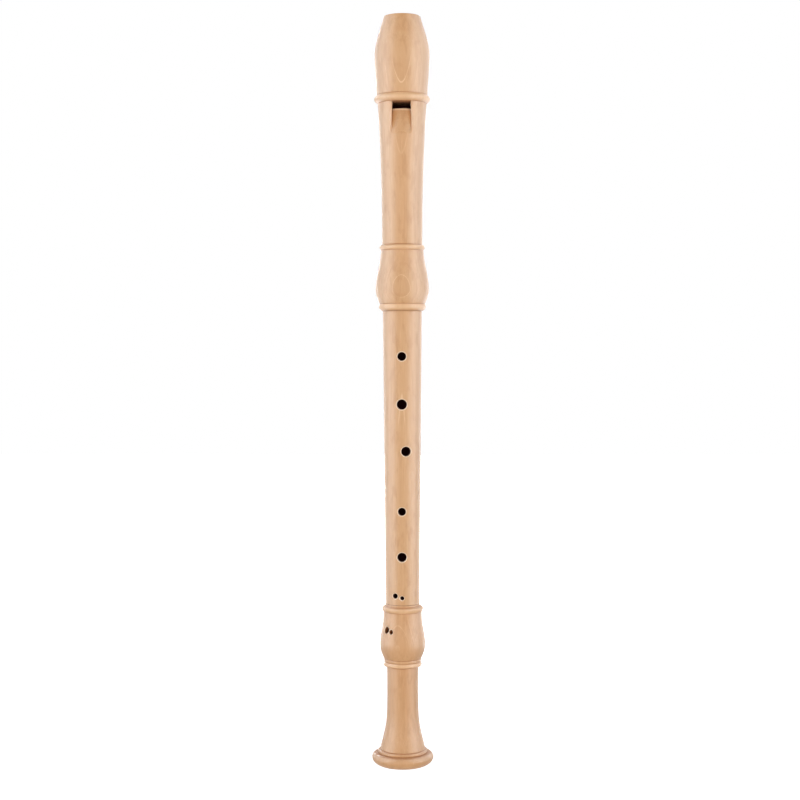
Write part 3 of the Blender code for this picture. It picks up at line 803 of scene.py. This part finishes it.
foot_side = flowing(
    (FOOT_RING_END, 0.01665, 0.03),
    (FOOT_TOP - 0.0210, 0.0178, 0.17),
    (FOOT_TOP - 0.0350, 0.0197, 0.0),
    (LOWER_RING_TOP, 0.0161, -0.55),
)
flare = flowing(
    (LOWER_RING_END, NECK_TOP, -0.02),
    (FOOT_TOP - 0.0712, 0.01353, 0.0),
    (0.0496, 0.01372, 0.03),
    (0.0355, 0.0149, 0.16),
    (0.0213, 0.01795, 0.25),
    (BEAD_TOP, 0.0197, 0.24),
)
lower_fillet = raised_ring(foot_side[-1], (0.0158, LOWER_RING_TOP - FILLET), 0.0002)
foot_bore = flowing((FOOT_SOCKET_FLOOR, 0.0080, -0.006), (0.0220, 0.0073, 0.0), (0.0, 0.0095, 0.2))
foot_outline = chain(
    [(LAND_RADIUS, FOOT_TOP)],
    raised_ring((RING_START, FOOT_LAND), foot_side[0], 0.0020),
    foot_side,
    lower_fillet,
    raised_ring(lower_fillet[-1], flare[0], 0.0020),
    flare,
    raised_ring(flare[-1], (SHELF, BEAD_END), 0.0009),
    rounded((CROWN, RIM_HEIGHT), (RIM_RADIUS - CROWN, BEAD_END - RIM_HEIGHT), 80.0, 0.0),
    rounded((BELL_FACE, RIM_HEIGHT), (RIM_RADIUS - BELL_FACE, RIM_HEIGHT), 0.0, -90.0),
    foot_bore[::-1],
    [(FOOT_SOCKET, FOOT_SOCKET_FLOOR), (FOOT_SOCKET, FOOT_TOP - EDGE_BREAK)],
    [(FOOT_SOCKET + EDGE_BREAK, FOOT_TOP)],
)
meetings = ((RING_START, FOOT_LAND), foot_side[0], foot_side[-1], lower_fillet[-1])
meetings += (flare[0], flare[-1], (SHELF, BEAD_END))
foot = turn("foot", score(foot_outline, *meetings))
foot_holes = [
    Hole("finger_hole_7_large", FOOT_TOP - 0.0214, -50.0, -39.0, 0.0056, 30.0, 0.0006),
    Hole("finger_hole_7_small", FOOT_TOP - 0.0225, -33.0, -39.0, 0.0038, 30.0, 0.0006),
]
for hole in foot_holes:
    drill(foot, foot_side, hole)
shade(foot)
mark_edges(foot, foot_side, foot_holes)
foot_rings = ((FOOT_LAND, FOOT_RING_END), (LOWER_RING_TOP - FILLET, LOWER_RING_END))
mark_ring_highlights(foot, foot_rings)

# %% [markdown]
# ## A workbench for finishes
#
# A finish is a small network of nodes. A few helpers keep it readable: they add a node and wire
# it, do a sum, lay a colour over another, map one range to another, and make noise and relief.
# Colours are written as a screen shows them, and turned to the light the renderer works in.

# %% Helpers for nodes
RELIEF_DEPTH = 0.0002


def screen_colour(red, green, blue):
    parts = []
    for value in (red, green, blue):
        value /= 255
        parts.append(value / 12.92 if value <= 0.04045 else ((value + 0.055) / 1.055) ** 2.4)
    return (*parts, 1.0)


def put(tree, kind, wires=(), **settings):
    """Adds a node, sets it up, and feeds its sockets with values or other nodes' outputs."""
    new = tree.nodes.new("ShaderNode" + kind)
    for name, value in settings.items():
        setattr(new, name, value)
    for socket, value in wires:
        if isinstance(value, bpy.types.NodeSocket):
            tree.links.new(value, new.inputs[socket])
        else:
            new.inputs[socket].default_value = value
    return new


def work_out(tree, operation, *values):
    return put(tree, "Math", list(enumerate(values)), operation=operation).outputs[0]


def lay_over(tree, amount, under, over, mode="MIX"):
    """One colour laid over another, as strongly as amount says."""
    wires = [(0, amount), (6, under), (7, over)]
    return put(tree, "Mix", wires, data_type="RGBA", blend_type=mode).outputs[2]


def reach(tree, value, low, high, start=0.0, end=1.0):
    """Maps low..high to start..end with soft ends, and holds beyond them."""
    wires = [(0, value), (1, low), (2, high), (3, start), (4, end)]
    return put(tree, "MapRange", wires, interpolation_type="SMOOTHSTEP").outputs[0]


def grain(tree, place, stretch, detail=3.0, roughness=0.5):
    """Noise whose features are as many to the metre, along each axis, as stretch says."""
    stretched = put(tree, "Mapping", [(0, place), (3, stretch)]).outputs[0]
    wires = [("Vector", stretched), ("Scale", 1.0), ("Detail", detail), ("Roughness", roughness)]
    return put(tree, "TexNoise", wires).outputs[0]


def stand_out(tree, shader, strength, height):
    """Lets a pattern stand out from the surface, by a share of the relief's full depth."""
    wires = [("Strength", strength), ("Distance", RELIEF_DEPTH), ("Height", height)]
    tree.links.new(put(tree, "Bump", wires).outputs[0], shader.inputs["Normal"])


def new_finish(name):
    """An empty finish: its node tree, its shader and the piece's own coordinates."""
    finish = bpy.data.materials.new(name)
    finish.use_nodes = True
    tree = finish.node_tree
    return finish, tree, tree.nodes["Principled BSDF"], put(tree, "TexCoord")


# %% [markdown]
# ## Maple
#
# Each joint was sawn from a plank some way from the middle of the tree, so its growth rings are
# wide arcs round a pith that lies behind it. The finish works out the distance to that line and
# draws rings by it. Turning then does the rest: where the body swells, a ring shows as an oval
# or a V, as on real wood, and at the sides the rings run as close straight lines.

# %% Rings, fibres and flecks of maple
LINE_HALF_WIDTH = 0.00004
RING_WAVER = 0.0005
FAINT_RINGS = 0.12
MAPLE = screen_colour(204, 157, 110)
MAPLE_DARK = screen_colour(186, 134, 84)
MAPLE_LINE = screen_colour(228, 190, 148)
MAPLE_WARM = screen_colour(204, 148, 100)
# brown of end grain, and of the painted shade in creases
MAPLE_END_GRAIN_AND_SHADE = screen_colour(172, 106, 54)
# painted highlight colour for the rings' outer faces
MAPLE_RING_HIGHLIGHT = screen_colour(238, 194, 148)
# painted highlight colour for the holes' edges and the labium
MAPLE_EDGE_HIGHLIGHT = screen_colour(242, 212, 180)
# painted shade colour for the hole walls
MAPLE_WALL_SHADE = screen_colour(112, 52, 18)
# painted shade colour, near black, for the bore and the deep hole walls
MAPLE_BORE_SHADE = screen_colour(52, 14, 12)


def pith_distance(tree, place, pith, around, lean):
    """How far each point is along the tree's radius from the bore, with the waver of growth.
    The pith lies behind the bore, or in front of it where its number is below zero."""
    turned = (math.radians(lean), 0.0, math.radians(around))
    wires = [(0, place), (1, (0.0, -pith, 0.0)), (2, turned)]
    seen = put(tree, "Mapping", wires).outputs[0]
    parts = put(tree, "SeparateXYZ", [(0, seen)]).outputs
    flat = put(tree, "CombineXYZ", [(0, parts[0]), (1, parts[1])]).outputs[0]
    length = put(tree, "VectorMath", [(0, flat)], operation="LENGTH").outputs[1]
    waver = work_out(tree, "SUBTRACT", grain(tree, place, (60.0, 60.0, 14.0), 2.0), 0.5)
    way = math.copysign(1.0, pith)
    distance = work_out(tree, "MULTIPLY_ADD", length, way, -pith)
    return work_out(tree, "MULTIPLY_ADD", waver, RING_WAVER, distance)


def ring_colour(tree, place, distance, first_line, width, clear, half_line):
    """Colour across the rings: a fine pale line ends each year, and the next starts browner."""
    height = put(tree, "SeparateXYZ", [(0, place)]).outputs[2]
    shown = FAINT_RINGS
    for low, high in clear:
        above = reach(tree, height, low - 0.005, low + 0.005)
        below = reach(tree, height, high + 0.005, high - 0.005)
        shown = work_out(tree, "MAXIMUM", shown, work_out(tree, "MULTIPLY", above, below))
    years = work_out(tree, "DIVIDE", work_out(tree, "SUBTRACT", distance, first_line), width)
    years = work_out(tree, "ADD", years, 20.5)
    across = work_out(tree, "FRACT", years)
    year = work_out(tree, "FLOOR", years)
    season = put(tree, "TexWhiteNoise", [("W", year)], noise_dimensions="1D").outputs[0]
    colour = lay_over(tree, reach(tree, season, 0.3, 1.0, 0.0, 0.2), MAPLE, MAPLE_WARM)
    rise, fall = reach(tree, across, 0.50, 0.56), reach(tree, across, 1.0, 0.56)
    start = work_out(tree, "MULTIPLY", rise, fall)
    patchy = reach(tree, grain(tree, place, (70.0, 70.0, 22.0), 2.0), 0.35, 0.55, 0.5, 1.0)
    shown = work_out(tree, "MULTIPLY", shown, patchy)
    dark = work_out(tree, "MULTIPLY", start, work_out(tree, "MULTIPLY", shown, 0.32))
    colour = lay_over(tree, dark, colour, MAPLE_DARK)
    off_line = work_out(tree, "ABSOLUTE", work_out(tree, "SUBTRACT", across, 0.5))
    edge = half_line / width
    line = work_out(tree, "MULTIPLY", reach(tree, off_line, 1.4 * edge, 0.6 * edge), shown)
    return lay_over(tree, work_out(tree, "MULTIPLY", line, 0.8), colour, MAPLE_LINE)


def maple(
    name, pith, first_line, width, around, lean, clear, half_line=LINE_HALF_WIDTH, warmth=0.0
):
    """Maple with a ring line at first_line before the bore and further ones each width apart.
    The rings show between each pair of heights and are faint beyond them."""
    finish, tree, shader, coordinates = new_finish(name)
    place = coordinates.outputs["Object"]
    distance = pith_distance(tree, place, pith, around, lean)
    colour = ring_colour(tree, place, distance, first_line, width, clear, half_line)
    colour = lay_over(tree, warmth, colour, MAPLE_WARM)
    smudge = grain(tree, place, (170.0, 170.0, 55.0), 3.0, 0.6)
    broad = grain(tree, place, (260.0, 260.0, 9.0), 4.0)
    fine = grain(tree, place, (1500.0, 1500.0, 60.0), 3.0, 0.6)
    for noise, low, high, amount, tint in (
        (smudge, 0.50, 0.70, 0.55, MAPLE_DARK),
        (broad, 0.45, 0.75, 0.40, MAPLE_DARK),
        (broad, 0.45, 0.22, 0.25, MAPLE_LINE),
        (fine, 0.52, 0.80, 0.30, MAPLE_DARK),
        (fine, 0.48, 0.25, 0.25, MAPLE_LINE),
    ):
        colour = lay_over(tree, reach(tree, noise, low, high, 0.0, amount), colour, tint)
    colour = ray_flecks(tree, place, colour)
    colour, bore_shade = end_grain_and_painted_light(tree, coordinates, colour)
    tree.links.new(colour, shader.inputs["Base Color"])
    satin(tree, shader, place, fine, bore_shade)
    return finish


# %% [markdown]
# ## End grain, painted shade and painted highlights
#
# Maple shows small rays as short dashes. Faces cut across the grain, on shoulders and ends, drink
# more oil and look browner. The grooves and creases get painted shade in the same brown. The bore
# and the hole walls get painted shade, so the holes look black. The painted highlight on the
# holes' edges is the palest colour of all.

# %% Ray flecks, end grain, painted highlights and painted shade
# radii between which the painted bore shade fades in
BORE_SHADE_FROM = 0.0156
BORE_SHADE_TO = 0.0134


def ray_flecks(tree, place, colour):
    stretched = put(tree, "Mapping", [(0, place), (3, (1300.0, 1300.0, 260.0))]).outputs[0]
    cells = put(tree, "TexVoronoi", [("Vector", stretched), ("Scale", 1.0)], feature="F1")
    dash = reach(tree, cells.outputs[0], 0.30, 0.12, 0.0, 0.35)
    return lay_over(tree, dash, colour, MAPLE_WARM)


def end_grain_and_painted_light(tree, coordinates, colour):
    """The colour with end grain, painted highlights and painted shade, and how much painted shade
    the bore gets, from 0 to 1.
    """
    place = put(tree, "SeparateXYZ", [(0, coordinates.outputs["Object"])]).outputs
    level = put(tree, "CombineXYZ", [(0, place[0]), (1, place[1])]).outputs[0]
    radius = put(tree, "VectorMath", [(0, level)], operation="LENGTH").outputs[1]
    outward = put(tree, "VectorMath", [(0, level)], operation="NORMALIZE").outputs[0]
    normal = coordinates.outputs["Normal"]
    wires = [(0, normal), (1, outward)]
    facing = put(tree, "VectorMath", wires, operation="DOT_PRODUCT").outputs[1]
    upright = put(tree, "SeparateXYZ", [(0, normal)]).outputs[2]
    across = work_out(tree, "ABSOLUTE", upright)
    # painted highlight: the rings' marked faces are laid paler
    ring_highlight = put(tree, "Attribute", attribute_name="painted_ring_highlight").outputs["Fac"]
    colour = lay_over(tree, work_out(tree, "MULTIPLY", ring_highlight, 0.45), colour, MAPLE_RING_HIGHLIGHT)
    colour = lay_over(tree, reach(tree, across, 0.65, 1.0, 0.0, 0.5), colour, MAPLE_END_GRAIN_AND_SHADE)
    # painted shade on the hole walls, browner than the skin
    drilled = put(tree, "Attribute", attribute_name="drilled_wall").outputs["Fac"]
    colour = lay_over(tree, work_out(tree, "MULTIPLY", drilled, 0.85), colour, MAPLE_WALL_SHADE)
    # painted shade: creases found by ambient occlusion are laid browner
    crease_shade = put(tree, "AmbientOcclusion", [("Distance", 0.0012)], samples=8).outputs["AO"]
    colour = lay_over(tree, reach(tree, crease_shade, 0.75, 0.35, 0.0, 0.8), colour, MAPLE_END_GRAIN_AND_SHADE)
    # painted highlight on the holes' edges and the labium
    edge_highlight = put(tree, "Attribute", attribute_name="painted_edge_highlight").outputs["Fac"]
    colour = lay_over(tree, work_out(tree, "MULTIPLY", edge_highlight, 0.9), colour, MAPLE_EDGE_HIGHLIGHT)
    # painted shade in the bore: inward faces and hole walls go near black below a radius
    inwards = work_out(tree, "MAXIMUM", drilled, reach(tree, facing, 0.0, -0.4))
    bore_shade = work_out(tree, "MULTIPLY", inwards, reach(tree, radius, BORE_SHADE_FROM, BORE_SHADE_TO))
    return lay_over(tree, bore_shade, colour, MAPLE_BORE_SHADE), bore_shade


# %% [markdown]
# ## A satin skin
#
# Oil and wax leave a soft shine, so the roughness is a middling one, and the fine grain varies it
# and stands in relief by a few hundredths of a millimetre. A number that is the same all over
# sits on the shader itself. The bore is matt, where the oil has soaked in and dried.

# %% Shine and relief
def satin(tree, shader, place, fine, bore_shade):
    shader.inputs["Specular IOR Level"].default_value = 0.5
    shine = reach(tree, fine, 0.3, 0.7, 0.40, 0.50)
    rough = put(tree, "Mix", [(0, bore_shade), (2, shine), (3, 0.95)], data_type="FLOAT").outputs[0]
    tree.links.new(rough, shader.inputs["Roughness"])
    cuts = grain(tree, place, (8.0, 8.0, 2600.0), 2.0)
    relief = work_out(tree, "MULTIPLY_ADD", cuts, 0.3, fine)
    stand_out(tree, shader, 0.12, relief)


figures = ((0.405, 0.436), (0.531, 0.553), (0.588, 0.612))
head_maple = maple("maple_head_finish", 0.6000, 0.02075, 0.0033, 0.0, -0.143, figures)
middle_maple = maple("maple_middle_finish", 0.0950, 0.0165, 0.0032, 0.0, -1.1, ((0.300, 0.345),))
foot_figure = ((0.108, 0.130),)
foot_line, foot_warmth = 0.0001, 0.3
foot_maple = maple(
    "maple_foot_finish", -0.13, 0.0119, 0.0032, 12.0, -2.5, foot_figure, foot_line, foot_warmth
)
print("maple nodes:", len(head_maple.node_tree.nodes))

# %% [markdown]
# ## Cedar
#
# The block is red cedar with straight, close grain: pale early wood and a thin darker line each
# year. It is left bare, so it is matt. The same ring idea serves, with the pith far to one side.

# %% The block's cedar
CEDAR_EARLY = screen_colour(190, 132, 92)
CEDAR_LATE = screen_colour(136, 80, 50)
CEDAR_DAMP = screen_colour(150, 96, 64)


def cedar(name):
    finish, tree, shader, coordinates = new_finish(name)
    place = coordinates.outputs["Object"]
    wires = [(0, place), (1, (0.4, 0.0, 0.0)), (2, (0.0, 0.02, 0.3))]
    seen = put(tree, "Mapping", wires).outputs[0]
    away = put(tree, "SeparateXYZ", [(0, seen)]).outputs[0]
    waver = grain(tree, place, (50.0, 50.0, 10.0), 2.0)
    years = work_out(tree, "DIVIDE", work_out(tree, "MULTIPLY_ADD", waver, 0.0012, away), 0.0011)
    late = reach(tree, work_out(tree, "FRACT", years), 0.45, 0.92)
    colour = lay_over(tree, late, CEDAR_EARLY, CEDAR_LATE)
    fine = grain(tree, place, (1800.0, 1800.0, 70.0), 3.0, 0.6)
    colour = lay_over(tree, reach(tree, fine, 0.45, 0.8, 0.0, 0.5), colour, CEDAR_DAMP)
    tree.links.new(colour, shader.inputs["Base Color"])
    tree.links.new(reach(tree, fine, 0.3, 0.7, 0.62, 0.78), shader.inputs["Roughness"])
    stand_out(tree, shader, 0.25, fine)
    return finish


block_cedar = cedar("cedar_block_finish")
print("cedar nodes:", len(block_cedar.node_tree.nodes))

# %% [markdown]
# ## Cork
#
# Sheet cork is a crowd of soft grains, each a little lighter or darker than its neighbours, with
# dark cracks between some of them. Voronoi cells give the grains, and the distance to a cell's
# edge gives the cracks and the relief.

# %% The tenons' cork
CORK_PALE = screen_colour(196, 156, 110)
CORK_BROWN = screen_colour(150, 106, 68)
CORK_CRACK = screen_colour(84, 54, 34)
CORK_GRAINS = 900.0


def sheet_cork(name):
    finish, tree, shader, coordinates = new_finish(name)
    place = coordinates.outputs["Object"]
    wires = [("Vector", place), ("Scale", CORK_GRAINS)]
    tone = put(tree, "TexVoronoi", wires, feature="F1").outputs["Color"]
    edge = put(tree, "TexVoronoi", wires, feature="DISTANCE_TO_EDGE").outputs[0]
    light = put(tree, "SeparateXYZ", [(0, tone)]).outputs[0]
    colour = lay_over(tree, light, CORK_PALE, CORK_BROWN)
    patches = grain(tree, place, (300.0, 300.0, 160.0), 3.0)
    gaps = reach(tree, edge, 0.12, 0.02)
    cracks = work_out(tree, "MULTIPLY", gaps, reach(tree, patches, 0.45, 0.65))
    colour = lay_over(tree, cracks, colour, CORK_CRACK)
    tree.links.new(colour, shader.inputs["Base Color"])
    shader.inputs["Roughness"].default_value = 0.8
    stand_out(tree, shader, 0.5, reach(tree, edge, 0.0, 0.2))
    return finish


tenon_cork = sheet_cork("tenon_cork_finish")
print("cork nodes:", len(tenon_cork.node_tree.nodes))

# %% [markdown]
# ## Giving each piece its place, body and finish
#
# Every new piece stands for one solid and moves with that solid's body. The head slides off the
# upper cork, the block slides out of the head, and the foot slides off the lower cork.

# %% Dress the pieces and tie them to the frame
for piece, body, node, slot, finish in (
    (head, "head", "head_joint", "maple_head", head_maple),
    (block, "block", "block", "cedar_block", block_cedar),
    (middle, "middle", "middle_joint", "maple_middle", middle_maple),
    (upper_cork, "upper_cork", "upper_tenon_cork", "tenon_cork", tenon_cork),
    (lower_cork, "lower_cork", "lower_tenon_cork", "tenon_cork", tenon_cork),
    (foot, "foot", "foot_joint", "maple_foot", foot_maple),
):
    piece.data.materials.clear()
    piece.data.materials.append(finish)
    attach(piece, body)
    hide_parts(node)
    print(piece.name, "rides on", body, "with", len(piece.data.polygons), "faces")

# %% [markdown]
# ## Floor and light
#
# The recorder is held upright over a white table, in front of white paper. The table lies just
# below the foot joint's travel, so the bell is still seen whole when the foot is drawn off. It
# shows white to the camera by a share of its own light, and the rest is real light, so a soft
# shadow still falls on it. Broad lamps in front and behind give the wood its plain colour. Tall
# panels at the sides only feed the shine: one pair draws the long pale bands down the turned
# wood, and the pair behind it brightens the edges.

# %% Floor, world and lamps
FLOOR_SIZE = 8.0
FLOOR_HEIGHT = -0.0265
FLOOR_GLOW = (0.55, 0.95)
GLOW_NEAR = 0.2
GLOW_FAR = 1.6
PAPER = screen_colour(240, 240, 240)


def seen_directly(tree):
    """1 for what the camera or a reflection shows, and 0 for the light that falls on a piece."""
    rays = put(tree, "LightPath").outputs
    seen = work_out(tree, "MAXIMUM", rays["Is Camera Ray"], rays["Is Glossy Ray"])
    return work_out(tree, "MAXIMUM", seen, rays["Is Transmission Ray"])


clean_start()
bpy.ops.mesh.primitive_plane_add(size=FLOOR_SIZE, location=(0.0, 0.0, FLOOR_HEIGHT))
floor = bpy.context.object
floor.name = "white_table"
bpy.ops.object.transform_apply(location=True, rotation=True, scale=True)
floor_finish, tree, shader, coordinates = new_finish("white_paper")
shader.inputs["Base Color"].default_value = PAPER
shader.inputs["Roughness"].default_value = 0.9
shader.inputs["Specular IOR Level"].default_value = 0.0
shader.inputs["Emission Color"].default_value = (1.0, 1.0, 1.0, 1.0)
far = put(tree, "VectorMath", [(0, coordinates.outputs["Object"])], operation="LENGTH").outputs[1]
glow = reach(tree, far, GLOW_NEAR, GLOW_FAR, *FLOOR_GLOW)
glow = work_out(tree, "MULTIPLY", seen_directly(tree), glow)
tree.links.new(glow, shader.inputs["Emission Strength"])
floor.data.materials.append(floor_finish)
floor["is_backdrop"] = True

AROUND_LIGHT = 0.52
LAMP_TARGET = 0.34
BROAD_LAMP = (2.6, 0.60, (2.4, 1.8), 3.0)
PANEL_DISTANCE = 0.45
PANEL_HEIGHT = 0.38
PANEL_LENGTH = 1.2
world = bpy.data.worlds.new("white_room")
bpy.context.scene.world = world
world.use_nodes = True
tree = world.node_tree
back = tree.nodes["Background"]
back.inputs["Color"].default_value = (1.0, 1.0, 1.0, 1.0)
strength = reach(tree, seen_directly(tree), 0.0, 1.0, AROUND_LIGHT, 1.0)
tree.links.new(strength, back.inputs["Strength"])


def soft_lamp(name, around, distance, height, size, brightness):
    """A soft box that stands round the object at an angle from the front and faces it."""
    clean_start()
    place = direction(around, 0.0) * distance + Vector((0.0, 0.0, height))
    bpy.ops.object.light_add(type="AREA", location=place)
    lamp = bpy.context.object
    lamp.name = name
    lamp.data.shape = "RECTANGLE"
    lamp.data.size, lamp.data.size_y = size
    lamp.data.energy = brightness * math.pi * size[0] * size[1]
    target = Vector((0.0, 0.0, LAMP_TARGET))
    lamp.rotation_euler = (target - place).to_track_quat("-Z", "Y").to_euler()
    lamp.visible_camera = False
    return lamp


for name, around in (("front_lamp", 2.0), ("back_lamp", 182.0)):
    broad_lamp = soft_lamp(name, around, *BROAD_LAMP)
    broad_lamp.visible_glossy = False
for name, around, width, brightness in (
    ("left_panel", -72.0, 0.52, 6.2),
    ("right_panel", 72.0, 0.52, 6.2),
    ("left_edge_panel", -140.0, 0.36, 2.8),
    ("right_edge_panel", 140.0, 0.36, 2.8),
):
    size = (width, PANEL_LENGTH)
    panel = soft_lamp(name, around, PANEL_DISTANCE, PANEL_HEIGHT, size, brightness)
    panel.visible_diffuse = False
    panel.data.cycles.use_multiple_importance_sampling = False
bpy.context.scene.view_settings.view_transform = "Standard"

# %% [markdown]
# ## The camera
#
# The photograph was taken from about 1.35 m away, a little above the middle, looking slightly
# down, with the instrument turned two degrees. A long lens keeps the two ends from leaning.

# %% The camera at the photograph's angle
CAMERA_DISTANCE = 1.3467
CAMERA_HEIGHT = 0.3718
CAMERA_AROUND = 2.0
AIM_ASIDE = 0.089
LOOK_DOWN = 2.217
ROLL = -0.06
LENS = 69.75

bpy.ops.object.camera_add(location=(0.0, 0.0, 0.0))
camera = bpy.context.object
camera.name = "photograph_camera"
camera.data.lens = LENS
camera.data.sensor_width = 36.0
camera.data.clip_start = 0.01
camera.location = direction(CAMERA_AROUND, 0.0) * CAMERA_DISTANCE
camera.location.z = CAMERA_HEIGHT
heading = Matrix.Rotation(math.radians(CAMERA_AROUND + AIM_ASIDE), 3, "Z")
pitch = Matrix.Rotation(math.radians(90.0 - LOOK_DOWN), 3, "X")
roll = Matrix.Rotation(math.radians(ROLL), 3, "Z")
camera.rotation_euler = (heading @ pitch @ roll).to_euler()
bpy.context.scene.camera = camera
print("camera at", [round(part, 3) for part in camera.location])

# %% [markdown]
# ## Measure and finish
#
# Both boxes, the solid model's and the dressed model's, are put side by side in one table, and
# the dressed box's size is printed. The dressed model has to stay within the solid model's box.

# %% Put both boxes side by side
dressed_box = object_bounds()
boxes = {"cad": solid_box, "visual": dressed_box}
boxes = {name: [list(corner) for corner in box] for name, box in boxes.items()}
print("dressed box in mm:", [round(side * 1000, 1) for side in dressed_box[1] - dressed_box[0]])
